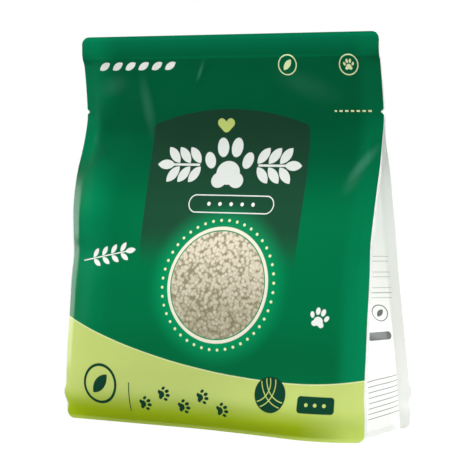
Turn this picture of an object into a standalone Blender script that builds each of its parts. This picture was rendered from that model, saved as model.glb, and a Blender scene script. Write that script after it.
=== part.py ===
"""Sealed, flat-bottomed film bag of cat litter, filled and standing on its base.

The front, the back, two side gussets and the base are printed film, welded together along
flat fins at the four upright edges, in a band across the top and in a rim round the base.
The filled bag can't be opened without tearing it, so it is one solid. It is lofted from level
outlines: every outline runs along the front, round the right gusset, along the back and round
the left gusset, and all of them have the same number of points.

Metres, +Z up, front facing -Y, origin on the floor under the middle of the bag.
"""

import math

import bmesh
import bpy

# Overall sizes
BAG_WIDTH = 0.300
BAG_HEIGHT = 0.347
BASE_DEPTH = 0.092

# Welded film
FIN_WIDTH = 0.009
FIN_THICKNESS = 0.0008
SEAL_HEIGHT = 0.020
SEAL_THICKNESS = 0.0013
TOP_CORNER_RADIUS = 0.008
BASE_CORNER_RADIUS = 0.006
BASE_RIM = 0.003

# Tear notches, measured down from the top edge
NOTCH_DROP = 0.068
NOTCH_DEPTH = 0.0028
NOTCH_OPENING = 0.005

# Where the pellets stop and the empty header begins, measured down from the top edge
HEADER_HEIGHT = 0.085
HEADER_PUFF = 0.005
LEAF_GAP = 0.0008

# Swelling of the film over the pellets
PANEL_BULGE = 0.0115
BULGE_TOP_POWER = 0.9
BULGE_BASE_POWER = 0.35
BULGE_SIDE_POWER = 4.0
WEDGE_POWER = 1.7
FOLD_START = 0.015
FOLD_END = 0.125
CREASE_POWER = 1.3

# The filled bag leans on its front, and its empty header nods forward
BODY_LEAN = 0.010
BODY_LEAN_HEIGHT = 0.150
HEADER_NOD = 0.011

# Fold at the foot of each fin, which stands out as a small ear
EAR_HEIGHT = 0.030
EAR_SPREAD = 0.009
EAR_REACH = 0.0022

# How finely the film is divided, and how far the divisions crowd to its edges and to the base
PANEL_STEPS = 28
GUSSET_STEPS = 10
FILLED_RINGS = 26
HEADER_RINGS = 5
CORNER_RINGS = 5
RIM_RINGS = 3
EDGE_CROWDING = 0.45
RING_GROWTH = 1.35


def clamp(value, low=0.0, high=1.0):
    return max(low, min(high, value))


def smooth(value):
    """Eases from 0 to 1 as value goes from 0 to 1."""
    t = clamp(value)
    return t * t * (3.0 - 2.0 * t)


def fill_height():
    return BAG_HEIGHT - HEADER_HEIGHT


def seal_base():
    return BAG_HEIGHT - SEAL_HEIGHT


def notch_height():
    return BAG_HEIGHT - NOTCH_DROP


def filled_share(z):
    """Height as a share of the filled part of the bag, 1 at the header and above."""
    return clamp(z / fill_height())


def header_share(z):
    """0 where the header begins, easing to 1 at the foot of the top seal."""
    return smooth((z - fill_height()) / (seal_base() - fill_height()))


def sealing(z):
    """0 below the top seal and 1 inside it."""
    return smooth((z - seal_base() + FIN_THICKNESS) / (2.0 * FIN_THICKNESS))


def middle(z):
    """Depth position of the plane halfway between the front and the back edges."""
    lean = BODY_LEAN * smooth(z / BODY_LEAN_HEIGHT)
    nod = HEADER_NOD * clamp((z - fill_height()) / HEADER_HEIGHT)
    return -lean - nod


def edge_spacing(z):
    """Distance from the front film to the back film at their upright edges."""
    closed = 2.0 * FIN_THICKNESS + LEAF_GAP
    wedge = (BASE_DEPTH - closed) * (1.0 - filled_share(z) ** WEDGE_POWER)
    pressed = closed + (SEAL_THICKNESS - closed) * sealing(z)
    return pressed + wedge


def fold_depth(z):
    """How far the gusset's middle crease is drawn in between the front and the back."""
    half_width = BASE_DEPTH / 2.0
    half_open = (edge_spacing(z) - 2.0 * FIN_THICKNESS) / 2.0
    slack = math.sqrt(max(half_width**2 - half_open**2, 0.0))
    opened = smooth((z - FOLD_START) / (FOLD_END - FOLD_START))
    return slack * opened * (1.0 - header_share(z))


def bulge(z):
    """Swelling at the middle of the front and back, from the base rim to the top seal."""
    share = clamp((z - BASE_RIM) / (fill_height() - BASE_RIM))
    peak = BULGE_BASE_POWER / (BULGE_BASE_POWER + BULGE_TOP_POWER)
    shape = share**BULGE_BASE_POWER * (1.0 - share) ** BULGE_TOP_POWER
    tallest = peak**BULGE_BASE_POWER * (1.0 - peak) ** BULGE_TOP_POWER
    puff = HEADER_PUFF * share * (1.0 - header_share(z))
    return PANEL_BULGE * shape / tallest + puff


def rounded(distance, radius):
    """How far a round corner draws the outline in, this far from the end of the film."""
    if distance >= radius:
        return 0.0
    return radius - math.sqrt(max(radius**2 - (radius - distance) ** 2, 0.0))


def tip_position(z):
    """Sideways position of the fin's free edge."""
    ear = EAR_REACH * math.exp(-(((z - EAR_HEIGHT) / EAR_SPREAD) ** 2))
    corners = rounded(BAG_HEIGHT - z, TOP_CORNER_RADIUS) + rounded(z, BASE_CORNER_RADIUS)
    cut = NOTCH_DEPTH * clamp(1.0 - abs(z - notch_height()) / (NOTCH_OPENING / 2.0))
    return BAG_WIDTH / 2.0 + ear - corners - cut


def root_position(z):
    """Sideways position where the fin meets the filled body."""
    plain = BAG_WIDTH / 2.0 - FIN_WIDTH
    return plain + (tip_position(z) - plain) * sealing(z)


def panel_points(z, side):
    """Points along the front (side -1) or the back (side 1), from left to right."""
    reach = root_position(z)
    edge = middle(z) + side * edge_spacing(z) / 2.0
    points = []
    for step in range(PANEL_STEPS + 1):
        even = 2.0 * step / PANEL_STEPS - 1.0
        crowded = math.sin(even * math.pi / 2.0)
        across = even + (crowded - even) * EDGE_CROWDING
        swell = bulge(z) * (1.0 - abs(across) ** BULGE_SIDE_POWER)
        points.append((across * reach, edge + side * swell))
    return points


def open_side(z):
    """Right side below the top seal: front fin, gusset with its crease drawn in, back fin."""
    tip = tip_position(z)
    root = root_position(z)
    half = edge_spacing(z) / 2.0
    inner = half - FIN_THICKNESS
    points = [(tip, -half), (tip, -inner)]
    for step in range(GUSSET_STEPS + 1):
        across = 2.0 * step / GUSSET_STEPS - 1.0
        fold = fold_depth(z) * (1.0 - abs(across) ** CREASE_POWER)
        points.append((root - fold, across * inner))
    return points + [(tip, inner), (tip, half)]


def welded_side(z, count):
    """Right side inside the top seal, where all the layers end in one cut edge."""
    tip = tip_position(z)
    half = edge_spacing(z) / 2.0
    return [(tip, half * (2.0 * (step + 1) / (count + 1) - 1.0)) for step in range(count)]


def side_points(z):
    """Points round the right side, from the front to the back."""
    below = open_side(z)
    welded = welded_side(z, len(below))
    share = sealing(z)
    points = []
    for (x, y), (welded_x, welded_y) in zip(below, welded):
        points.append((x + (welded_x - x) * share, middle(z) + y + (welded_y - y) * share))
    return points


def outline(z):
    """The whole outline at height z, anticlockwise seen from above."""
    right = side_points(z)
    left = [(-x, y) for x, y in reversed(right)]
    back = list(reversed(panel_points(z, 1)))
    return panel_points(z, -1) + right + back + left


def heights():
    """Heights of the outlines, from the floor to the top edge."""
    levels = {0.0, BASE_RIM, seal_base() - FIN_THICKNESS, seal_base() + FIN_THICKNESS}
    for step in range(1, RIM_RINGS + 1):
        levels.add(BASE_CORNER_RADIUS * (1.0 - math.cos(step / RIM_RINGS * math.pi / 2.0)))
    for step in range(1, FILLED_RINGS + 1):
        share = step / FILLED_RINGS
        levels.add(BASE_RIM + (fill_height() - BASE_RIM) * share**RING_GROWTH)
    for step in range(1, HEADER_RINGS):
        levels.add(fill_height() + (seal_base() - fill_height()) * step / HEADER_RINGS)
    for offset in (-0.5, 0.0, 0.5):
        levels.add(notch_height() + offset * NOTCH_OPENING)
    for step in range(CORNER_RINGS + 1):
        drop = TOP_CORNER_RADIUS * (1.0 - math.sin(step / CORNER_RINGS * math.pi / 2.0))
        levels.add(BAG_HEIGHT - drop)
    return spaced(sorted(levels))


def spaced(levels):
    """Drops heights that lie too close to the one below, but keeps the top edge."""
    kept = [levels[0]]
    for level in levels[1:-1]:
        if level - kept[-1] > FIN_THICKNESS / 2.0 and levels[-1] - level > FIN_THICKNESS / 4.0:
            kept.append(level)
    return kept + [levels[-1]]


def film_material():
    material = bpy.data.materials.new("printed_film")
    material.use_nodes = True
    shader = material.node_tree.nodes["Principled BSDF"]
    shader.inputs["Base Color"].default_value = (0.006, 0.16, 0.07, 1.0)
    shader.inputs["Roughness"].default_value = 0.38
    shader.inputs["Metallic"].default_value = 0.0
    return material


def make_bag():
    levels = heights()
    depths = [y for z in levels for _, y in outline(z)]
    centre = (min(depths) + max(depths)) / 2.0
    mesh = bmesh.new()
    rings = [[mesh.verts.new((x, y - centre, z)) for x, y in outline(z)] for z in levels]
    for lower, upper in zip(rings, rings[1:]):
        for i, vertex in enumerate(lower):
            j = (i + 1) % len(lower)
            mesh.faces.new((vertex, lower[j], upper[j], upper[i]))
    mesh.faces.new(list(reversed(rings[0])))
    mesh.faces.new(rings[-1])
    data = bpy.data.meshes.new("bag")
    mesh.to_mesh(data)
    mesh.free()
    data.materials.append(film_material())
    data.shade_smooth()
    data.set_sharp_from_angle(angle=math.radians(40.0))
    bag = bpy.data.objects.new("bag", data)
    bpy.context.scene.collection.objects.link(bag)
    return bag


for old in list(bpy.data.objects):
    bpy.data.objects.remove(old, do_unlink=True)
make_bag()
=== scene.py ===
"""Looks of a sealed, flat-bottomed film bag of cat litter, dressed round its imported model.

Metres, +Z up, front facing -Y. The bag is made the way such bags are: five printed films,
for the front, the back, two pleated gussets and the base, welded to each other.
"""

import math

import bpy
import numpy as np
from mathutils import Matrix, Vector


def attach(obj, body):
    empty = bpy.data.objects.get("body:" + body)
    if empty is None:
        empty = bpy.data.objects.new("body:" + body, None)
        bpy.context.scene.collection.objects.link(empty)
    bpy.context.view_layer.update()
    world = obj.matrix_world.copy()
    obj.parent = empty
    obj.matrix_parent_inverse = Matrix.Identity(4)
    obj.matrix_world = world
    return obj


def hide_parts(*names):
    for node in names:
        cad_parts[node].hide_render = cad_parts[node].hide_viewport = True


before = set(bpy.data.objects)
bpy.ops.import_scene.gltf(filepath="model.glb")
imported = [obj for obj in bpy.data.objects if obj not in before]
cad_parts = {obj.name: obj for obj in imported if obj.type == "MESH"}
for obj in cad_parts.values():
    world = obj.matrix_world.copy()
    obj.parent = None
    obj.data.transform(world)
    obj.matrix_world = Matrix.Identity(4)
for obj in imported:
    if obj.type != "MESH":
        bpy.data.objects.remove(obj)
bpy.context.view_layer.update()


# Camera
# A long lens at the bag's own height, 1.8 m away, 29 degrees round to the right
# of the front panel and tipped down by 3 degrees.

CAMERA_PLACE = (0.885, -1.5716, 0.2749)
CAMERA_TURN = math.radians(29.3)
CAMERA_TIP = math.radians(3.425)
LENS = 153.4

bpy.ops.object.select_all(action="DESELECT")
bpy.ops.object.camera_add(location=CAMERA_PLACE, rotation=(math.pi / 2 - CAMERA_TIP, 0.0, CAMERA_TURN))
camera = bpy.context.object
camera.data.sensor_width = 36.0
camera.data.lens = LENS
camera.data.clip_start = 0.05
camera.data.clip_end = 50.0
bpy.context.scene.camera = camera


# Studio
# A plain pale floor in a white room whose walls are dim to the film. One large softbox hangs high
# in front, one hangs behind, and two stand at each side. The high one and, at each side, the one
# nearer the camera light the film without shining in it.

def soft_light(name, azimuth, elevation, distance, width, height, power, glossy=True):
    """A softbox that faces the bag. Azimuth 0 is in front and 90 to the right; power is in watts."""
    target = Vector((0.0, 0.0, 0.17))
    turn, rise = math.radians(azimuth), math.radians(elevation)
    away = Vector((math.sin(turn) * math.cos(rise), -math.cos(turn) * math.cos(rise), math.sin(rise)))
    bpy.ops.object.light_add(type="AREA", location=target + away * distance)
    light = bpy.context.object
    light.name = name
    light.rotation_euler = away.to_track_quat("Z", "Y").to_euler()
    light.data.shape = "RECTANGLE"
    light.data.size = width
    light.data.size_y = height
    light.data.energy = power
    light.visible_glossy = glossy


def add_node(tree, kind, values=(), output=0, **settings):
    """Adds a shader node and fills its inputs, in order, from sockets or plain values."""
    node = tree.nodes.new("ShaderNode" + kind)
    for name, value in settings.items():
        setattr(node, name, value)
    for socket, value in zip(node.inputs, values):
        if isinstance(value, bpy.types.NodeSocket):
            tree.links.new(value, socket)
        elif value is not None:
            socket.default_value = value
    return node.outputs[output]


def ramp(tree, value, start, end, low=0.0, high=1.0):
    """Low where value is at start, high where it is at end, and straight between."""
    return add_node(tree, "MapRange", (value, start, end, low, high))


soft_light("high_softbox", 4, 65, 2.6, 1.8, 1.2, 73.0, False)
soft_light("left_softbox", -80, 12, 1.3, 0.45, 1.3, 5.4)
soft_light("near_left_softbox", -70, 10, 1.5, 0.6, 0.9, 13.0, False)
soft_light("right_softbox", 93, 15, 1.3, 0.7, 1.2, 9.5)
soft_light("near_right_softbox", 68, 8, 2.0, 0.9, 0.9, 19.0, False)
soft_light("rear_softbox", 180, 50, 1.8, 1.4, 0.9, 38.0)

scene = bpy.context.scene
scene.view_settings.view_transform = "Standard"
scene.view_settings.look = "None"

WHITE = (1.0, 1.0, 1.0, 1.0)

world = bpy.data.worlds.new("white_room")
scene.world = world
world.use_nodes = True
room = world.node_tree
room.nodes.clear()
seen = add_node(room, "LightPath")
mirrored = seen.node.outputs["Is Glossy Ray"]
dim_walls = add_node(room, "Background", (WHITE, 0.02))
dark_walls = add_node(room, "Background", (WHITE, 0.004))
white_walls = add_node(room, "Background", (WHITE, 1.0))
walls = add_node(room, "MixShader", (mirrored, dim_walls, dark_walls))
walls = add_node(room, "MixShader", (seen, walls, white_walls))
room.links.new(walls, room.nodes.new("ShaderNodeOutputWorld").inputs["Surface"])

bpy.ops.mesh.primitive_plane_add(size=16.0, location=(0.0, 0.0, 0.0))
floor = bpy.context.object
floor.name = "studio_floor"
floor_finish = bpy.data.materials.new("pale_floor")
floor_finish.use_nodes = True
tree = floor_finish.node_tree
tree.nodes.clear()
seen = add_node(tree, "LightPath")
mirrored = seen.node.outputs["Is Glossy Ray"]
on_floor = add_node(tree, "TexCoord", output=3)
from_bag = add_node(tree, "VectorMath", (on_floor,), output=1, operation="LENGTH")
near = ramp(tree, from_bag, 0.20, 0.45, 0.50, 0.04)
near_shade = add_node(tree, "CombineColor", (near, near, near))
far = ramp(tree, from_bag, 0.30, 1.30, 0.93, 1.0)
pale = add_node(tree, "BsdfDiffuse", ((0.07, 0.07, 0.07, 1.0),))
glow = add_node(tree, "Emission", (WHITE, far))
lit = add_node(tree, "AddShader", (pale, glow))
bounce = add_node(tree, "BsdfDiffuse", (near_shade,))
dull = add_node(tree, "BsdfDiffuse", ((0.01, 0.01, 0.01, 1.0),))
finish = add_node(tree, "MixShader", (mirrored, bounce, dull))
finish = add_node(tree, "MixShader", (seen, finish, lit))
tree.links.new(finish, tree.nodes.new("ShaderNodeOutputMaterial").inputs["Surface"])
floor.data.materials.append(floor_finish)


# Front film
# The front of the bag is one web of satin printed film, about a quarter of a millimetre thick.
# It is welded to the gussets along two upright fins, to the back in a band across the top, and
# to the base in a low rim, and it swells over the pellets between them.

WIDTH = 0.300
HEIGHT = 0.347
BASE_DEPTH = 0.092
DEPTH_SHIFT = 0.00213
FILM = 0.00025
FIN_WIDTH = 0.009
SEAL_HEIGHT = 0.020
NOTCH_DROP = 0.068
NOTCH_DEPTH = 0.0028
NOTCH_OPENING = 0.005
HEADER_HEIGHT = 0.085
TOP_CORNER = 0.0068
BASE_CORNER = 0.006
EAR_REACH = 0.0024
EAR_SPREAD = 0.006
EAR_DIP = 0.0011
BODY_LEAN = 0.010
HEADER_NOD = 0.0098
FREE_GAP = 0.0004
WEDGE_POWER = 1.7
SIDE_POWER = 4.5
LEFT_SHOULDER = 0.126
CURL_POWER = 1.25
FRONT_SWEEP = 0.0032
BACK_SWEEP = -0.0026

fill_line = HEIGHT - HEADER_HEIGHT
seal_line = HEIGHT - SEAL_HEIGHT
notch_line = HEIGHT - NOTCH_DROP
root_plain = WIDTH / 2 - FIN_WIDTH


def ease(value):
    """Eases from 0 to 1 as value goes from 0 to 1."""
    t = np.clip(value, 0.0, 1.0)
    return t * t * (3.0 - 2.0 * t)


def hump(value, centre, spread):
    """A smooth hump, 1 high, round centre."""
    return np.exp(-(((value - centre) / spread) ** 2))


def bend(value, softness):
    """0 below 0 and value above it, with a soft bend between."""
    return 0.5 * (value + np.sqrt(value**2 + softness**2))


def through(level, knots, values):
    """A smooth curve through values, given in millimetres at the knots."""
    knots, values = np.array(knots), np.array(values) / 1000.0
    slopes = np.gradient(values, knots)
    place = np.clip(np.searchsorted(knots, level) - 1, 0, len(knots) - 2)
    gap = knots[place + 1] - knots[place]
    t = np.clip((level - knots[place]) / gap, 0.0, 1.0)
    low = values[place] * (1.0 + 2.0 * t) + slopes[place] * gap * t
    high = values[place + 1] * (3.0 - 2.0 * t) - slopes[place + 1] * gap * (1.0 - t)
    return low * (1.0 - t) ** 2 + high * t**2


def welded(z):
    """0 below the top seal and 1 in it."""
    return ease((z - seal_line + 0.0008) / 0.0016)


def mid_plane(x, z):
    """Depth of the surface halfway between the front and the back seams."""
    lean = BODY_LEAN * ease(z / 0.150)
    nod = HEADER_NOD * np.clip((z - fill_line) / (seal_line - fill_line), 0.0, 1.0) ** 1.5
    left = through(
        z,
        [0.0, 0.215, 0.244, 0.264, 0.283, 0.308, 0.327, 0.347],
        [0, 0, -1.1, -2.2, -1.6, -0.5, 0, 0],
    )
    right = through(
        z,
        [0.0, 0.180, 0.205, 0.232, 0.267, 0.300, 0.327, 0.347],
        [0, 0, 0.6, 1.6, 0.8, 0.3, 0, 0],
    )
    share = ease(x / WIDTH + 0.5)
    header = ease((z - 0.256) / 0.020) * ease((0.332 - z) / 0.012)
    turned = np.where(x < 0.0, 0.13, 0.09) * bend(np.abs(x) - 0.129, 0.004) * header
    curl = 0.0007 * ease((z - HEIGHT + 0.0045) / 0.0045)
    return DEPTH_SHIFT - lean - nod + left * (1.0 - share) + right * share + turned + curl


def half_depth(z):
    """Half the distance between the front and the back seams."""
    closed = 4.0 * FILM + 0.00004 + FREE_GAP * (1.0 - welded(z))
    opening = bend(1.0 - z / fill_line, 0.042) * ease((seal_line - z) / 0.030)
    open_share = 1.0 - (1.0 - np.minimum(opening, 1.0)) ** WEDGE_POWER
    return closed / 2 + (BASE_DEPTH - closed) / 2 * open_share


def front_push(across, x, z):
    """How far the pellets push the front film, which differs from left to right."""
    left = through(
        z,
        [0.0, 0.010, 0.035, 0.066, 0.105, 0.130, 0.150, 0.170, 0.188, 0.208, 0.229, 0.246, 0.262, 0.280],
        [0.5, -0.8, -2.4, -0.8, 2.0, 2.1, 2.7, -1.8, -5.0, -5.4, -4.6, -1.9, 0, 0],
    )
    right = through(
        z,
        [0.0, 0.010, 0.026, 0.053, 0.089, 0.121, 0.148, 0.167, 0.196, 0.229, 0.262, 0.280],
        [0, 0.6, -0.9, -1.8, -0.3, 0.8, 0.8, 0.4, 0.4, 0.6, 0, 0],
    )
    foot = through(
        x,
        [-0.150, -0.060, -0.010, 0.033, 0.065, 0.098, 0.118, 0.133, 0.143, 0.150],
        [0, 0, -0.5, -5.0, -9.5, -14.0, -12.5, -8.0, -3.0, 0],
    )
    nearly_left = ease((-across - 0.25) / 0.75)
    nearly_right = ease((across - 0.25) / 0.75)
    side = (left * nearly_left + right * nearly_right) * ease((fill_line + 0.002 - z) / 0.014)
    turned_left = through(z, [0.0, 0.040, 0.150, 0.190, 0.225, 0.250, 0.280], [0, 0, 60, 160, 150, 0, 0])
    turned_right = through(z, [0.0, 0.035, 0.070, 0.110, 0.142, 0.165, 0.190], [0, 60, 210, 220, 260, 0, 0])
    right_band = 0.018 - 0.006 * ease((z - 0.110) / 0.035)
    shoulder = turned_left * (bend(-x - LEFT_SHOULDER, 0.004) - (WIDTH / 2 - LEFT_SHOULDER) * nearly_left)
    shoulder = shoulder + turned_right * bend(x - WIDTH / 2 + right_band, 0.003)
    return side + shoulder + foot * (1.0 - ease(z / 0.060))


def corner_cut(distance, radius):
    """How far a round corner draws the film in, this far from its end."""
    inside = np.clip(radius - distance, 0.0, radius)
    return radius - np.sqrt(radius**2 - inside**2)


def fin_tip(z, side, facing):
    """Sideways distance of a fin's free edge, with its corners, tear notch and ear."""
    ear_height = np.where(facing < 0.0, 0.024, 0.034)
    ear_size = np.where((facing < 0.0) & (side > 0.0), 0.15, 1.0)
    dip = EAR_DIP * hump(z, ear_height - 0.011, 0.004)
    ear = ear_size * (EAR_REACH * hump(z, ear_height, EAR_SPREAD) - dip)
    corners = corner_cut(HEIGHT - z, TOP_CORNER) + corner_cut(z, BASE_CORNER)
    notch = NOTCH_DEPTH * np.clip(1.0 - np.abs(z - notch_line) / (NOTCH_OPENING / 2), 0.0, 1.0)
    hip = np.where((side < 0.0) & (facing < 0.0), 0.0018, 0.0) * hump(z, 0.210, 0.026)
    return WIDTH / 2 + ear + hip - corners - notch


def fin_root(z, tip):
    """Sideways distance of the line where a fin leaves the bag."""
    return root_plain + (tip - FIN_WIDTH - root_plain) * welded(z)


def fin_curl(share):
    """How a fin bends away from the panel, from 0 at its root to 1 at its free edge."""
    return share**CURL_POWER


def fin_sweep(z, facing):
    """How far a fin's root stands out from its free edge: at the front, out, and at the back, in."""
    reach = np.where(facing < 0.0, FRONT_SWEEP, BACK_SWEEP)
    return reach * ease((0.250 - z) / 0.090) * ease((z - 0.002) / 0.020)


def swelling(z):
    """How far the middle of a panel stands out from its seams."""
    return through(
        z,
        [0.0, 0.0025, 0.005, 0.009, 0.020, 0.045, 0.070, 0.100, 0.128, 0.163,
         0.189, 0.207, 0.229, 0.248, 0.267, 0.283, 0.300, 0.322, 0.328, 0.347],
        [0, 0.1, 1.6, 4.2, 8.2, 10.5, 10.4, 9.2, 7.6, 5.0, 3.0, 2.0, 1.9, 2.6, 3.9, 3.7, 2.6, 0.5, 0, 0],
    )


def rows_of(count):
    """Heights of the rows of a web, closer at the foot, the notch, the seal line and the corners."""
    even = np.linspace(0.0, HEIGHT, count - 15)
    marks = [0.0005, 0.0026, 0.0034, 0.0045, 0.0060, 0.0072, notch_line - 0.0025, notch_line]
    marks += [notch_line + 0.0025, seal_line - 0.0006, seal_line + 0.0006]
    marks += [HEIGHT - 0.0003, HEIGHT - 0.0010, HEIGHT - 0.0024, HEIGHT - 0.0040]
    return np.sort(np.concatenate([even, marks]))


def columns_of(fin_count, panel_count):
    """Positions across a web: beyond -1 and 1 are the fins, between them the panel."""
    fin = np.linspace(0.0, 1.0, fin_count + 1)[1:]
    even = np.linspace(-1.0, 1.0, panel_count + 1)
    panel = even + (np.sin(even * math.pi / 2) - even) * 0.5
    return np.concatenate([-1.0 - fin[::-1], panel, 1.0 + fin])


def waves(x, z, seed, count, shortest, longest):
    """Gentle random undulations, the same on each run, from -1 to 1 or so."""
    chance = np.random.RandomState(seed)
    total = np.zeros_like(x + z)
    for _ in range(count):
        length = chance.uniform(shortest, longest)
        turn = chance.uniform(0.0, math.pi)
        phase = chance.uniform(0.0, 2.0 * math.pi)
        total = total + np.sin((x * math.cos(turn) + z * math.sin(turn)) * 2.0 * math.pi / length + phase)
    return total / math.sqrt(count)


def crease(x, z, start, end, spread):
    """A soft fold along a line, 1 high at its middle and fading to its ends."""
    along_x, along_z = end[0] - start[0], end[1] - start[1]
    length = math.hypot(along_x, along_z)
    share = ((x - start[0]) * along_x + (z - start[1]) * along_z) / length**2
    aside = ((x - start[0]) * along_z - (z - start[1]) * along_x) / length
    return np.exp(-((aside / spread) ** 2)) * ease(share * 3.0) * ease((1.0 - share) * 3.0)


def panel_web(columns, rows, facing):
    """Points of the front (facing -1) or back (facing 1) film's outer face, as x, y and z grids."""
    column, z = np.meshgrid(columns, rows)
    side = np.where(column < 0.0, -1.0, 1.0)
    across = np.clip(column, -1.0, 1.0)
    fin_share = np.clip(np.abs(column) - 1.0, 0.0, 1.0)
    tip = fin_tip(z, side, facing)
    root = fin_root(z, tip)
    x = across * root + side * fin_share * (tip - root)
    seam = mid_plane(x, z) + facing * half_depth(z)
    if facing < 0:
        seam = seam + front_push(across, x, z)
    knee = np.where(across < 0.0, 0.55, 0.72)
    loose = 1.0 - bend(np.abs(across) - knee, 0.08) / bend(1.0 - knee, 0.08)
    tight = 1.0 - np.abs(across) ** SIDE_POWER
    in_header = ease((z - 0.230) / 0.050)
    sweep = fin_sweep(z, facing)
    rise = np.maximum(swelling(z) - sweep, 0.0) * (tight + (loose - tight) * in_header)
    y = seam + facing * np.where(fin_share > 0.0, sweep * (1.0 - fin_curl(fin_share)), sweep + rise)
    two_layers = ease((root_plain - BASE_DEPTH / 2 + 0.0015 - np.abs(x)) / 0.003) * welded(z)
    y = y - facing * FILM * two_layers
    return x, y, z


def relief(x, z, facing):
    """Undulations and creases of the film, in metres outward."""
    filled = ease((fill_line - z) / 0.030) * ease((z - 0.006) / 0.025)
    header = ease((z - fill_line + 0.030) / 0.040) * ease((seal_line - z) / 0.012)
    inside = ease((root_plain - np.abs(x)) / 0.020)
    seed = 4 if facing < 0 else 9
    even = 0.00030 * waves(x, z, seed, 12, 0.045, 0.120) * filled
    loose = 0.00040 * waves(x, z * 0.35, seed + 1, 12, 0.030, 0.080) * header
    folds = 0.0
    for height, start, end, spread in (
        (0.0016, (0.150, 0.266), (0.122, 0.216), 0.0055),
        (0.0008, (-0.141, 0.262), (-0.112, 0.232), 0.0045),
        (0.0007, (-0.016, 0.331), (-0.030, 0.298), 0.0026),
        (0.0008, (-0.096, 0.310), (-0.074, 0.255), 0.0042),
        (0.0004, (0.060, 0.320), (0.085, 0.270), 0.0060),
    ):
        folds = folds + height * crease(x, z, start, end, spread)
    return (even + loose) * inside + folds * ease((0.1405 - np.abs(x)) / 0.004)


def film_grid(name, columns, rows, points):
    """A grid the shape of the web, with one vertex at each column and row."""
    bpy.ops.object.select_all(action="DESELECT")
    across, up = len(columns), len(rows)
    bpy.ops.mesh.primitive_grid_add(x_subdivisions=across - 1, y_subdivisions=up - 1, size=1.0)
    web = bpy.context.object
    web.name = name
    web.data.name = name
    flat = np.empty(len(web.data.vertices) * 3)
    web.data.vertices.foreach_get("co", flat)
    flat = flat.reshape(-1, 3)
    column = np.rint((flat[:, 0] + 0.5) * (across - 1)).astype(int)
    row = np.rint((flat[:, 1] + 0.5) * (up - 1)).astype(int)
    placed = np.stack([points[0][row, column], points[1][row, column], points[2][row, column]], axis=1)
    web.data.vertices.foreach_set("co", placed.astype(np.float32).ravel())
    web.data.update()
    return web, column, row


def lay_out_print(web, column, row, flat_x, flat_z):
    """Unwraps the film flat: U runs across it and V up it, each from 0 to 1."""
    layer = web.data.uv_layers.active or web.data.uv_layers.new(name="print")
    layer.name = "print"
    corners = np.empty(len(web.data.loops), dtype=int)
    web.data.loops.foreach_get("vertex_index", corners)
    u = flat_x[row, column][corners]
    v = flat_z[row, column][corners]
    layer.data.foreach_set("uv", np.stack([u, v], axis=1).astype(np.float32).ravel())


def thicken(web):
    """Gives the film its thickness, with the printed face outside and the plain core on its edges."""
    bpy.ops.object.select_all(action="DESELECT")
    web.select_set(True)
    bpy.context.view_layer.objects.active = web
    wall = web.modifiers.new("thickness", "SOLIDIFY")
    wall.thickness = FILM - 0.00002
    wall.offset = -1.0
    wall.use_even_offset = False
    wall.material_offset = 1
    wall.material_offset_rim = 1
    bpy.ops.object.modifier_apply(modifier=wall.name)
    bpy.ops.object.shade_smooth_by_angle(angle=math.radians(40.0))


def satin_film(name):
    """A satin film with fine grain and faint pellets under it; each web adds its own print."""
    material = bpy.data.materials.new(name)
    material.use_nodes = True
    tree = material.node_tree
    shader = tree.nodes["Principled BSDF"]
    place = add_node(tree, "TexCoord", output=3)
    grain = add_node(tree, "TexNoise", (place, None, 1500.0, 2.0))
    lumps = add_node(tree, "TexVoronoi", (place, None, 210.0), feature="SMOOTH_F1")
    fine = add_node(tree, "Bump", (0.04, 0.0002))
    tree.links.new(grain, fine.node.inputs["Height"])
    pressed = add_node(tree, "Bump", (0.08, 0.0006))
    tree.links.new(lumps, pressed.node.inputs["Height"])
    tree.links.new(fine, pressed.node.inputs["Normal"])
    tree.links.new(pressed, shader.inputs["Normal"])
    smudges = add_node(tree, "TexNoise", (place, None, 22.0, 3.0))
    sheen = ramp(tree, smudges, 0.3, 0.7, 0.16, 0.20)
    tree.links.new(sheen, shader.inputs["Roughness"])
    return material, tree, shader


def plain_core():
    """The film's own white plastic, which shows where it is cut."""
    material = bpy.data.materials.new("film_core")
    material.use_nodes = True
    tree = material.node_tree
    shader = tree.nodes["Principled BSDF"]
    place = add_node(tree, "TexCoord", output=3)
    cloud = add_node(tree, "TexNoise", (place, None, 300.0, 2.0))
    tint = ramp(tree, cloud, 0.3, 0.7, 0.72, 0.80)
    shade = add_node(tree, "CombineColor", (tint, tint, tint))
    tree.links.new(shade, shader.inputs["Base Color"])
    shader.inputs["Roughness"].default_value = 0.45
    return material


def print_place(tree, width, height):
    """Position on the flat film in millimetres, across from its middle and up from its foot."""
    corner = add_node(tree, "TexCoord", output=2)
    size = (width * 1000.0, height * 1000.0, 0.0)
    return add_node(tree, "VectorMath", (corner, size, (-size[0] / 2, 0.0, 0.0)), operation="MULTIPLY_ADD")


def maths(tree, operation, *values):
    """One sum on one or two values."""
    return add_node(tree, "Math", values, operation=operation)


def component(tree, place, axis):
    """One component of a place: 0 is across the film and 1 up it."""
    return add_node(tree, "SeparateXYZ", (place,), output=axis)


def mirrored_place(tree, place):
    """Place with its signs dropped, so that one motif shows on both sides of its centre."""
    return add_node(tree, "VectorMath", (place,), operation="ABSOLUTE")


def repeated(tree, value, step):
    """Position within each step of a row, from -0.5 to 0.5."""
    return maths(tree, "SUBTRACT", maths(tree, "FRACT", maths(tree, "DIVIDE", value, step)), 0.5)


def soft_ramp(tree, value, start, end, low=0.0, high=1.0):
    """Low where value is at start, high where it is at end, and easing between."""
    return add_node(tree, "MapRange", (value, start, end, low, high), interpolation_type="SMOOTHSTEP")


def sharp(tree, distance, reach, edge=0.22):
    """1 where distance is below reach and 0 above it."""
    return ramp(tree, distance, reach - edge, reach + edge, 1.0, 0.0)


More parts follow.
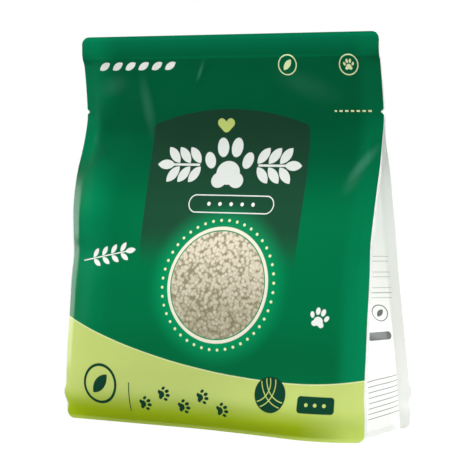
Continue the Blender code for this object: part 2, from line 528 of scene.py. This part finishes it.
def moved(tree, place, centre, turn=0.0):
    """Place as seen from a motif's own centre, with its turn in degrees."""
    values = (place, (centre[0], centre[1], 0.0), (0.0, 0.0, math.radians(turn)))
    return add_node(tree, "Mapping", values, vector_type="TEXTURE")


def length_of(tree, place):
    """Distance from place's own centre."""
    return add_node(tree, "VectorMath", (place,), output=1, operation="LENGTH")


def ellipse_reach(tree, place, centre, half, turn):
    """Distance from an ellipse's centre: 1 on its outline."""
    values = (place, (centre[0], centre[1], 0.0), (0.0, 0.0, math.radians(turn)), (half[0], half[1], 1.0))
    return length_of(tree, add_node(tree, "Mapping", values, vector_type="TEXTURE"))


def spot(tree, place, centre, half, turn=0.0, edge=0.22):
    """A filled ellipse."""
    return sharp(tree, ellipse_reach(tree, place, centre, half, turn), 1.0, edge / min(half))


def hoop(tree, place, centre, radius, line):
    """A circle drawn with a line of this thickness."""
    reach = length_of(tree, moved(tree, place, centre))
    gap = maths(tree, "ABSOLUTE", maths(tree, "SUBTRACT", reach, radius))
    return sharp(tree, gap, line / 2)


def bar(tree, place, centre, half, corner, turn=0.0, line=0.0):
    """A bar with round corners, filled, or drawn with a line of this thickness."""
    both = mirrored_place(tree, moved(tree, place, centre, turn))
    inner = (half[0] - corner, half[1] - corner, 0.0)
    over = add_node(tree, "VectorMath", (both, inner), operation="SUBTRACT")
    over = add_node(tree, "VectorMath", (over, (0.0, 0.0, 0.0)), operation="MAXIMUM")
    reach = length_of(tree, over)
    if not line:
        return sharp(tree, reach, corner)
    gap = maths(tree, "ABSOLUTE", maths(tree, "SUBTRACT", reach, corner - line / 2))
    return sharp(tree, gap, line / 2)


def leaf(tree, place, centre, length, width, turn=0.0):
    """A pointed leaf, where two discs overlap."""
    own = moved(tree, place, centre, turn)
    radius = (length**2 + width**2) / (4.0 * width)
    upper = spot(tree, own, (0.0, radius - width / 2), (radius, radius))
    lower = spot(tree, own, (0.0, width / 2 - radius), (radius, radius))
    return maths(tree, "MINIMUM", upper, lower)


def together(tree, masks):
    """All of the masks as one."""
    whole = masks[0]
    for mask in masks[1:]:
        whole = maths(tree, "MAXIMUM", whole, mask)
    return whole


def paw(tree, place, size):
    """A cat's paw print round place's own centre: four toes over a lobed pad."""
    own = add_node(tree, "VectorMath", (place, (1.0 / size, 1.0 / size, 1.0)), operation="MULTIPLY")
    both = mirrored_place(tree, own)
    half = add_node(tree, "CombineXYZ", (component(tree, both, 0), component(tree, own, 1)))
    edge = 0.22 / size
    inner_toes = spot(tree, half, (0.135, 0.30), (0.108, 0.165), -8, edge)
    outer_toes = spot(tree, half, (0.36, 0.08), (0.098, 0.145), -24, edge)
    pad = spot(tree, half, (0.0, -0.13), (0.22, 0.20), 0, edge)
    lobes = spot(tree, half, (0.155, -0.25), (0.15, 0.13), -25, edge)
    return together(tree, [inner_toes, outer_toes, pad, lobes])


def heart(tree, place, centre):
    """A heart, from two slanting bars."""
    own = moved(tree, place, centre)
    both = mirrored_place(tree, own)
    half = add_node(tree, "CombineXYZ", (component(tree, both, 0), component(tree, own, 1)))
    return bar(tree, half, (2.2, 0.0), (7.1, 4.0), 4.0, 45.0)


def ink(tree, under, mask, colour):
    """Prints a colour over what is under it, where the mask is 1."""
    node = tree.nodes.new("ShaderNodeMix")
    node.data_type = "RGBA"
    for socket, value in ((node.inputs[0], mask), (node.inputs[6], under), (node.inputs[7], colour)):
        if isinstance(value, bpy.types.NodeSocket):
            tree.links.new(value, socket)
        else:
            socket.default_value = value
    return node.outputs[2]


# The front's inks, with greens that paint shade and light on the ground, and their places in millimetres on
# the flat film

GREEN = (0.0010, 0.160, 0.055, 1.0)
# Greens that paint shade low down, in the upper body and the header, and light on the seal band and along
# both edges.
LOW_GREEN_PAINTED_SHADE = (0.0010, 0.138, 0.046, 1.0)
UPPER_GREEN_PAINTED_SHADE = (0.0008, 0.093, 0.035, 1.0)
HEADER_GREEN_PAINTED_SHADE = (0.0008, 0.106, 0.040, 1.0)
SEAL_GREEN_PAINTED_LIGHT = (0.0014, 0.158, 0.070, 1.0)
RIGHT_EDGE_PAINTED_LIGHT = (0.0016, 0.205, 0.082, 1.0)
LEFT_EDGE_PAINTED_LIGHT = (0.0018, 0.250, 0.100, 1.0)
BRIGHT_GREEN = (0.003, 0.33, 0.12, 1.0)
ARCH_GREEN = (0.013, 0.073, 0.035, 1.0)
ARCH_TOP = (0.011, 0.049, 0.025, 1.0)
DARK_GREEN = (0.006, 0.052, 0.026, 1.0)
LIME = (0.50, 0.605, 0.168, 1.0)
LIME_IN_PAINTED_SHADE = (0.36, 0.50, 0.004, 1.0)
PALE_LIME = (0.78, 0.86, 0.48, 1.0)
CREAM = (0.84, 0.80, 0.66, 1.0)
WHITE_INK = (0.86, 0.88, 0.84, 1.0)
SILVER_INK = (0.70, 0.735, 0.70, 1.0)
FOLD_HIGHLIGHT_GREEN = (0.24, 0.68, 0.50, 1.0)
PELLET_DARK = (0.34, 0.31, 0.20, 1.0)
PELLET_LIT = (0.74, 0.66, 0.50, 1.0)
PELLET_PALE = (0.86, 0.82, 0.70, 1.0)
PELLET_GAP = (0.17, 0.15, 0.07, 1.0)

LIME_LOWEST = (90.0, 47.5)
ARCH_HALF_WIDTH = 78.7
ARCH_SHOULDER = 4.0
ARCH_CENTRE_HEIGHT = 60.4
ARCH_RADIUS = 221.0
WINDOW_CENTRE = (9.0, 128.0)
WINDOW_RADIUS = 46.5
WINDOW_RING = 49.0
WINDOW_BEADS = 44
BEAD_CIRCLE = 56.0
TITLE_CENTRE = (5.0, 232.0)
PILL_CENTRE = (12.0, 198.0)
SPRIG_CENTRE = (-108.0, 150.0)
SMALL_PAW_CENTRE = (110.0, 104.0)
GARLAND_START = -133.0
GARLAND_STEP = 14.0
GARLAND_HEIGHT = 320.0
LEAF_BADGE = (62.4, 319.5)
PAW_BADGE = (121.0, 319.0)
BADGE_RADIUS = 8.6
DASH_STEP = 5.2
STAMP_CENTRE = (-109.0, 35.0)
WOVEN_SPOT = (67.0, 37.0)
TRAIL_START = -72.0
TRAIL_STEP = 20.0


def painted_left_light(tree, along, up):
    """Painted light at the left: where the green is lighter over the shoulder, on the fin and in the
    header.
    """
    shoulder = soft_ramp(tree, along, -98.0, -130.0)
    shoulder = maths(tree, "MULTIPLY", shoulder, ramp(tree, along, -136.0, -147.0, 1.0, 0.2))
    shoulder = maths(tree, "MULTIPLY", shoulder, ramp(tree, up, 85.0, 165.0, 0.2, 0.65))
    shoulder = maths(tree, "MULTIPLY", shoulder, ramp(tree, up, 200.0, 240.0, 1.0, 0.0))
    fin = soft_ramp(tree, along, -129.0, -141.0, 0.0, 0.40)
    fin = maths(tree, "MULTIPLY", fin, ramp(tree, up, 222.0, 245.0))
    header = soft_ramp(tree, along, -108.0, -139.0, 0.0, 0.46)
    header = maths(tree, "MULTIPLY", header, ramp(tree, up, 268.0, 294.0))
    return together(tree, [fin, header, shoulder])


def green_and_lime(tree, place):
    """The ground of the front and back: green with painted shade low down, in the upper body and header,
    and painted light on the seal band and along both edges; below a waving edge, lime that darkens to the
    foot as painted shade.
    """
    along = component(tree, place, 0)
    up = component(tree, place, 1)
    offset = maths(tree, "SUBTRACT", along, LIME_LOWEST[0])
    steep = ramp(tree, offset, -4.0, 4.0, 0.00079, 0.0014)
    rise = maths(tree, "MULTIPLY", maths(tree, "MULTIPLY", offset, offset), steep)
    over = maths(tree, "SUBTRACT", up, maths(tree, "ADD", rise, LIME_LOWEST[1]))
    # Painted shade where the film rolls under at the foot: the lime darkens towards the bottom, less at the
    # right corner and on the lowest 3 mm rim.
    painted_foot_shade = maths(tree, "MULTIPLY", soft_ramp(tree, up, 34.0, 9.0), ramp(tree, along, 95.0, 135.0, 1.0, 0.4))
    rim = maths(tree, "MULTIPLY", sharp(tree, up, 3.0), 0.45)
    band = ink(tree, ink(tree, LIME, painted_foot_shade, LIME_IN_PAINTED_SHADE), rim, LIME)
    # The green ground is darker low down, in the upper body and in the header as painted shade, and lighter
    # on the top seal band as painted light.
    green = ink(tree, GREEN, soft_ramp(tree, up, 110.0, 65.0), LOW_GREEN_PAINTED_SHADE)
    green = ink(tree, green, soft_ramp(tree, up, 180.0, 246.0), UPPER_GREEN_PAINTED_SHADE)
    green = ink(tree, green, soft_ramp(tree, up, 255.0, 300.0), HEADER_GREEN_PAINTED_SHADE)
    green = ink(tree, green, soft_ramp(tree, up, 326.0, 346.0), SEAL_GREEN_PAINTED_LIGHT)
    # Painted light along the right edge, stronger lower down.
    right = soft_ramp(tree, along, 124.0, 138.0)
    right = maths(tree, "MULTIPLY", right, ramp(tree, up, 150.0, 185.0, 0.8, 0.3))
    green = ink(tree, ink(tree, green, right, RIGHT_EDGE_PAINTED_LIGHT), painted_left_light(tree, along, up), LEFT_EDGE_PAINTED_LIGHT)
    shade = ink(tree, green, sharp(tree, over, 0.0), band)
    line = sharp(tree, maths(tree, "ABSOLUTE", over), 0.45)
    return ink(tree, shade, maths(tree, "MULTIPLY", line, 0.8), PALE_LIME), along, up


def painted_fold_highlight(tree, under, place, centre, half, turn, strength):
    """A painted highlight along a fold: the ink a little paler, fading all round."""
    reach = ellipse_reach(tree, place, centre, half, turn)
    return ink(tree, under, soft_ramp(tree, reach, 1.0, 0.0, 0.0, strength), FOLD_HIGHLIGHT_GREEN)


def arched(tree, place, middle):
    """A tall panel under a low arch with round shoulders, round this place across the film."""
    from_middle = component(tree, mirrored_place(tree, moved(tree, place, (middle, 0.0))), 0)
    from_centre = length_of(tree, moved(tree, place, (middle, ARCH_CENTRE_HEIGHT)))
    beside = maths(tree, "SUBTRACT", from_middle, ARCH_HALF_WIDTH - ARCH_SHOULDER)
    above = maths(tree, "SUBTRACT", from_centre, ARCH_RADIUS - ARCH_SHOULDER)
    outside = add_node(tree, "CombineXYZ", (beside, above))
    outside = add_node(tree, "VectorMath", (outside, (0.0, 0.0, 0.0)), operation="MAXIMUM")
    return sharp(tree, length_of(tree, outside), ARCH_SHOULDER)


core = plain_core()

front_columns = columns_of(6, 176)
front_rows = rows_of(226)
x, y, z = panel_web(front_columns, front_rows, -1)
y = y - relief(x, z, -1)
front_web, column, row = film_grid("front_film", front_columns, front_rows, (x, y, z))
lay_out_print(front_web, column, row, x / WIDTH + 0.5, z / HEIGHT)

front_print, tree, shader = satin_film("front_print")
place = print_place(tree, WIDTH, HEIGHT)
shade, along, up = green_and_lime(tree, place)

arch = maths(tree, "MULTIPLY", arched(tree, place, 4.0), soft_ramp(tree, up, 138.0, 178.0))
# The printed arch darkens towards its top as painted shade.
arch_ink_with_painted_shade = ink(tree, ARCH_GREEN, ramp(tree, up, 190.0, 250.0), ARCH_TOP)
shade = ink(tree, shade, arch, arch_ink_with_painted_shade)

# Painted highlights where the film folds.
for centre, half, turn, strength in (
    ((-25.0, 315.0), (13.0, 3.0), 66.0, 0.10),
    ((-81.0, 284.0), (38.0, 8.0), 101.0, 0.07),
    ((-118.0, 303.0), (22.0, 13.0), 20.0, 0.05),
    ((135.0, 235.0), (25.0, 6.5), 52.0, 0.12),
    ((127.0, 221.0), (20.0, 9.0), 62.0, 0.05),
    ((80.0, 302.0), (46.0, 15.0), -20.0, 0.03),
):
    shade = painted_fold_highlight(tree, shade, place, centre, half, turn, strength)

window = moved(tree, place, WINDOW_CENTRE)
from_window = length_of(tree, window)
halo = soft_ramp(tree, from_window, 50.0, 74.0, 1.0, 0.0)
shade = ink(tree, shade, maths(tree, "MULTIPLY", halo, 0.7), BRIGHT_GREEN)
pellets = add_node(tree, "TexVoronoi", (place, None, 0.34), feature="F1")
pellet_tone = add_node(tree, "SeparateColor", (pellets.node.outputs["Color"],))
pellet_shade = ink(tree, PELLET_DARK, ramp(tree, up, 84.0, 160.0), PELLET_LIT)
pellet_shade = ink(tree, pellet_shade, maths(tree, "MULTIPLY", pellet_tone, 0.35), PELLET_PALE)
pellet_shade = ink(tree, pellet_shade, ramp(tree, pellets, 0.42, 0.80, 0.0, 0.75), PELLET_GAP)
shade = ink(tree, shade, sharp(tree, from_window, WINDOW_RADIUS), pellet_shade)
ring = sharp(tree, maths(tree, "ABSOLUTE", maths(tree, "SUBTRACT", from_window, WINDOW_RING)), 1.5)
shade = ink(tree, shade, ring, CREAM)
angle = maths(tree, "ARCTAN2", component(tree, window, 1), component(tree, window, 0))
from_bead = repeated(tree, angle, 2 * math.pi / WINDOW_BEADS)
beside_bead = maths(tree, "MULTIPLY", from_bead, 2 * math.pi * BEAD_CIRCLE / WINDOW_BEADS)
bead = add_node(tree, "CombineXYZ", (beside_bead, maths(tree, "SUBTRACT", from_window, BEAD_CIRCLE)))
shade = ink(tree, shade, sharp(tree, length_of(tree, bead), 1.3), PALE_LIME)

title = moved(tree, place, TITLE_CENTRE)
big_paw = paw(tree, title, 52.0)
both = mirrored_place(tree, title)
sprigs = [bar(tree, both, (44.0, 0.0), (15.0, 1.0), 1.0), leaf(tree, both, (63.5, 0.0), 17.0, 8.5)]
for reach in (28.0, 39.0, 50.0):
    sprigs.append(leaf(tree, both, (reach + 6.0, 8.5), 18.0, 8.5, 50.0))
shade = ink(tree, shade, together(tree, [big_paw] + sprigs), SILVER_INK)
shade = ink(tree, shade, heart(tree, place, (0.0, 267.0)), LIME)

pill = moved(tree, place, PILL_CENTRE)
both = mirrored_place(tree, pill)
pill_marks = [spot(tree, both, (reach, 0.0), (1.7, 1.7)) for reach in (0.0, 11.0, 22.0)]
pill_marks.append(bar(tree, pill, (0.0, 0.0), (43.0, 8.0), 8.0, 0.0, 0.9))
shade = ink(tree, shade, together(tree, pill_marks), WHITE_INK)

sprig = moved(tree, place, SPRIG_CENTRE, 12.0)
both = mirrored_place(tree, sprig)
small = [bar(tree, both, (8.0, 0.0), (20.0, 0.5), 0.5), leaf(tree, sprig, (24.0, 0.0), 11.0, 5.0)]
for reach in (-16.0, -6.0, 4.0, 14.0):
    small.append(leaf(tree, sprig, (reach + 3.0, 4.4), 10.0, 4.5, 45.0))
    small.append(leaf(tree, sprig, (reach + 3.0, -4.4), 10.0, 4.5, -45.0))
small.append(paw(tree, moved(tree, place, SMALL_PAW_CENTRE, -14.0), 19.0))
shade = ink(tree, shade, together(tree, small), WHITE_INK)

from_leaf = repeated(tree, maths(tree, "SUBTRACT", along, GARLAND_START), GARLAND_STEP)
beside_leaf = maths(tree, "MULTIPLY", from_leaf, GARLAND_STEP)
garland = add_node(tree, "CombineXYZ", (beside_leaf, maths(tree, "SUBTRACT", up, GARLAND_HEIGHT)))
leaves = leaf(tree, garland, (0.0, 0.0), 13.0, 6.0, 28.0)
leaves = maths(tree, "MINIMUM", leaves, bar(tree, place, (-91.5, GARLAND_HEIGHT), (41.5, 10.0), 0.5))
shade = ink(tree, shade, leaves, WHITE_INK)

badges = [hoop(tree, place, LEAF_BADGE, BADGE_RADIUS, 1.0), leaf(tree, place, LEAF_BADGE, 11.5, 5.5, 52.0)]
badges.append(hoop(tree, place, PAW_BADGE, BADGE_RADIUS, 1.0))
badges.append(paw(tree, moved(tree, place, (121.0, 318.8)), 11.0))
dash = maths(tree, "ABSOLUTE", repeated(tree, along, DASH_STEP))
tear_line = bar(tree, place, (123.0, 279.5), (17.0, 0.7), 0.4)
dashes = maths(tree, "MINIMUM", sharp(tree, dash, 0.28, 0.03), tear_line)
shade = ink(tree, shade, together(tree, badges + [dashes]), PALE_LIME)

stamp = [hoop(tree, place, STAMP_CENTRE, 17.0, 2.6), leaf(tree, place, STAMP_CENTRE, 23.0, 11.0, 48.0)]
stamp += [bar(tree, place, (-78.0, 25.0), (0.5, 13.0), 0.4), spot(tree, place, WOVEN_SPOT, (15.5, 15.5))]
stamp.append(bar(tree, place, (111.0, 31.0), (16.5, 7.2), 3.0))
on_trail = maths(tree, "SUBTRACT", along, TRAIL_START)
odd = maths(tree, "MODULO", maths(tree, "FLOOR", maths(tree, "DIVIDE", on_trail, TRAIL_STEP)), 2.0)
beside_print = maths(tree, "MULTIPLY", repeated(tree, on_trail, TRAIL_STEP), TRAIL_STEP)
above_print = maths(tree, "SUBTRACT", maths(tree, "SUBTRACT", up, 20.0), maths(tree, "MULTIPLY", odd, 10.0))
trail = add_node(tree, "CombineXYZ", (beside_print, above_print))
prints = paw(tree, moved(tree, trail, (0.0, 0.0), -78.0), 14.0)
stamp.append(maths(tree, "MINIMUM", prints, bar(tree, place, (-22.0, 25.0), (50.0, 16.0), 0.5)))
shade = ink(tree, shade, together(tree, stamp), DARK_GREEN)
strands = [hoop(tree, place, (50.0, 47.0), radius, 0.9) for radius in (17.0, 22.0)]
strands += [hoop(tree, place, (82.0, 50.0), radius, 0.9) for radius in (19.0, 24.0)]
strands = maths(tree, "MINIMUM", together(tree, strands), spot(tree, place, WOVEN_SPOT, (14.2, 14.2)))
marks = [strands] + [spot(tree, place, (reach, 31.0), (1.6, 1.6)) for reach in (103.0, 111.0, 119.0)]
shade = ink(tree, shade, together(tree, marks), LIME)
tree.links.new(shade, shader.inputs["Base Color"])

front_web.data.materials.append(front_print)
front_web.data.materials.append(core)
thicken(front_web)
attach(front_web, "root")
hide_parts("bag")


# Back film
# The back is a second web like the front one, printed in the same colours but more plainly,
# and it swells as the front does.

CREST_CENTRE = (0.0, 222.0)
PANEL_CENTRE = (0.0, 116.0)
BACK_STAMP = (-104.0, 32.0)
PANEL_RULE = (0.18, 0.24, 0.20, 1.0)
PANEL_RULE_STEP = 7.0

back_columns = columns_of(6, 120)
back_rows = rows_of(170)
x, y, z = panel_web(back_columns, back_rows, 1)
y = y + relief(x, z, 1)
x, y, z = x[:, ::-1], y[:, ::-1], z[:, ::-1]
back_web, column, row = film_grid("back_film", back_columns, back_rows, (x, y, z))
lay_out_print(back_web, column, row, 0.5 - x / WIDTH, z / HEIGHT)

back_print, tree, shader = satin_film("back_print")
place = print_place(tree, WIDTH, HEIGHT)
# The same ground as the front, with its painted shade and light.
shade, along, up = green_and_lime(tree, place)
arch = maths(tree, "MULTIPLY", arched(tree, place, 0.0), soft_ramp(tree, up, 120.0, 200.0))
shade = ink(tree, shade, arch, ARCH_TOP)
crest = [paw(tree, moved(tree, place, CREST_CENTRE), 56.0), hoop(tree, place, CREST_CENTRE, 42.0, 1.6)]
shade = ink(tree, shade, together(tree, crest), WHITE_INK)
shade = ink(tree, shade, bar(tree, place, PANEL_CENTRE, (104.0, 42.0), 5.0), WHITE_INK)
rule = maths(tree, "ABSOLUTE", repeated(tree, up, PANEL_RULE_STEP))
ruled = bar(tree, place, PANEL_CENTRE, (94.0, 34.0), 0.5)
rules = maths(tree, "MINIMUM", sharp(tree, rule, 0.07, 0.03), ruled)
shade = ink(tree, shade, rules, PANEL_RULE)
stamp = [hoop(tree, place, BACK_STAMP, 15.0, 2.4), leaf(tree, place, BACK_STAMP, 20.0, 9.5, 48.0)]
shade = ink(tree, shade, together(tree, stamp), DARK_GREEN)
tree.links.new(shade, shader.inputs["Base Color"])

back_web.data.materials.append(back_print)
back_web.data.materials.append(core)
thicken(back_web)
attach(back_web, "root")
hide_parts("bag")


# Gusset films
# Each side is a narrower white web, welded to the front and the back in the fins. The filling
# opens it out at the base; higher up it folds inward along its middle, and from the header
# to the top edge it lies flat between the front and the back.

GUSSET_WHITE = (0.83, 0.85, 0.81, 1.0)
GUSSET_PAINTED_LIGHT = (0.90, 0.94, 0.90, 1.0)
RULE_GREY = (0.13, 0.14, 0.135, 1.0)
GUSSET_RULE_STEP = 4.6
GUSSET_WIDTH = BASE_DEPTH + 2 * FIN_WIDTH


def fold_depth(z):
    """How far a gusset's middle crease is drawn in."""
    half_open = half_depth(z) - 2.0 * FILM
    slack = np.sqrt(np.maximum((BASE_DEPTH / 2) ** 2 - half_open**2, 0.0))
    return slack * ease((z - 0.015) / 0.110)


def gusset_web(columns, rows, side):
    """Points of a gusset film's outer face, from the front fin to the back fin."""
    column, z = np.meshgrid(columns, rows)
    facing = np.where(column < 0.0, -1.0, 1.0)
    across = np.clip(column, -1.0, 1.0)
    fin_share = np.clip(np.abs(column) - 1.0, 0.0, 1.0)
    proud = np.where(column < 0.0, 0.0018, 0.0008) * ease((0.258 - z) / 0.040) * ease((z - 0.001) / 0.012)
    front_tip, back_tip = fin_tip(z, side, -1.0), fin_tip(z, side, 1.0)
    front_root, back_root = fin_root(z, front_tip), fin_root(z, back_tip)
    tip = np.where(column < 0.0, front_tip, back_tip)
    root = front_root + (back_root - front_root) * (across + 1.0) / 2.0
    fold = fold_depth(z) * (1.0 - np.abs(across) ** 1.3)
    puff = 0.0035 * hump(z, 0.045, 0.035) * (1.0 - across**4) * ease(z / 0.006)
    in_fin = fin_share * (tip - root + proud)
    x = side * (root - fold + puff + in_fin)
    inset = half_depth(z) - 2.0 * FILM
    front_sweep, back_sweep = fin_sweep(z, -1.0), fin_sweep(z, 1.0)
    front = front_push(side, side * (root + in_fin), z) - inset - front_sweep
    back = inset + back_sweep
    y = mid_plane(x, z) + front + (back - front) * (across + 1.0) / 2.0
    y = y - facing * np.where(column < 0.0, front_sweep, back_sweep) * fin_curl(in_fin / (tip - root))
    return x, y, z


gusset_columns = columns_of(6, 72)
gusset_rows = rows_of(226)
for side, name in ((1, "right_gusset_film"), (-1, "left_gusset_film")):
    x, y, z = gusset_web(gusset_columns, gusset_rows, side)
    if side < 0:
        x, y, z = x[:, ::-1], y[:, ::-1], z[:, ::-1]
    gusset, column, row = film_grid(name, gusset_columns, gusset_rows, (x, y, z))
    reach = np.clip(gusset_columns, -1, 1) * BASE_DEPTH / 2
    reach = reach + np.sign(gusset_columns) * np.clip(np.abs(gusset_columns) - 1, 0, 1) * FIN_WIDTH
    flat = np.tile(reach / GUSSET_WIDTH + 0.5, (len(gusset_rows), 1))
    lay_out_print(gusset, column, row, flat, z / HEIGHT)

    gusset_print, tree, shader = satin_film(name + "_print")
    place = print_place(tree, GUSSET_WIDTH, HEIGHT)
    up = component(tree, place, 1)
    # The white film is painted lighter towards the top, where the pleat lies in shade.
    shade = ink(tree, GUSSET_WHITE, soft_ramp(tree, up, 120.0, 220.0), GUSSET_PAINTED_LIGHT)
    rule = maths(tree, "ABSOLUTE", repeated(tree, up, GUSSET_RULE_STEP))
    ruled = [bar(tree, place, (34.0, level), (14.0, 2.3), 0.4) for level in (151.8, 138.0, 124.2, 119.6)]
    ruled.append(bar(tree, place, (14.0, 32.2), (32.0, 18.4), 0.4))
    rules = maths(tree, "MINIMUM", sharp(tree, rule, 0.08, 0.05), together(tree, ruled))
    marks = [hoop(tree, place, (36.0, 104.0), 7.0, 0.9), leaf(tree, place, (36.0, 104.0), 8.5, 4.5, 45.0)]
    marks.append(bar(tree, place, (29.0, 84.0), (15.0, 3.6), 3.6))
    marks.append(maths(tree, "MULTIPLY", rules, 0.85))
    shade = ink(tree, shade, together(tree, marks), RULE_GREY)
    tree.links.new(shade, shader.inputs["Base Color"])

    gusset.data.materials.append(gusset_print)
    gusset.data.materials.append(core)
    thicken(gusset)
    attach(gusset, "root")
    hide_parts("bag")


# Base film
# The base is a fifth web, unprinted. Its edge is turned down and welded inside the foot of the
# other four in a low rim, and the pellets press the rest flat on the floor.

BASE_SHADE = (0.74, 0.76, 0.72, 1.0)

base_columns = np.linspace(-1.0, 1.0, 97)
base_rows = np.linspace(-1.0, 1.0, 49)
base_columns = base_columns + (np.sin(base_columns * math.pi / 2) - base_columns) * 0.85
base_rows = base_rows + (np.sin(base_rows * math.pi / 2) - base_rows) * 0.85
across, along = np.meshgrid(base_columns, base_rows)
inside = np.minimum((1.0 - np.abs(across)) * root_plain, (1.0 - np.abs(along)) * BASE_DEPTH / 2)
x = across * (root_plain - 1.5 * FILM)
level = np.zeros_like(x)
front = mid_plane(x, level) - BASE_DEPTH / 2 + front_push(across, x, level) + 1.5 * FILM
back = mid_plane(x, level) + BASE_DEPTH / 2 - 1.5 * FILM
y = front + (back - front) * (1.0 - along) / 2.0
z = 0.0004 + 0.0028 * ease(inside / 0.0012) * (1.0 - ease((inside - 0.0012) / 0.008))
base_web, column, row = film_grid("base_film", base_columns, base_rows, (x, y, z))
lay_out_print(base_web, column, row, x / WIDTH + 0.5, y / WIDTH + 0.5)
base_plain, tree, shader = satin_film("base_plain")
place = add_node(tree, "TexCoord", output=3)
cloud = add_node(tree, "TexNoise", (place, None, 40.0, 3.0))
tree.links.new(ink(tree, GUSSET_WHITE, cloud, BASE_SHADE), shader.inputs["Base Color"])
base_web.data.materials.append(base_plain)
base_web.data.materials.append(core)
thicken(base_web)
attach(base_web, "root")
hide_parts("bag")
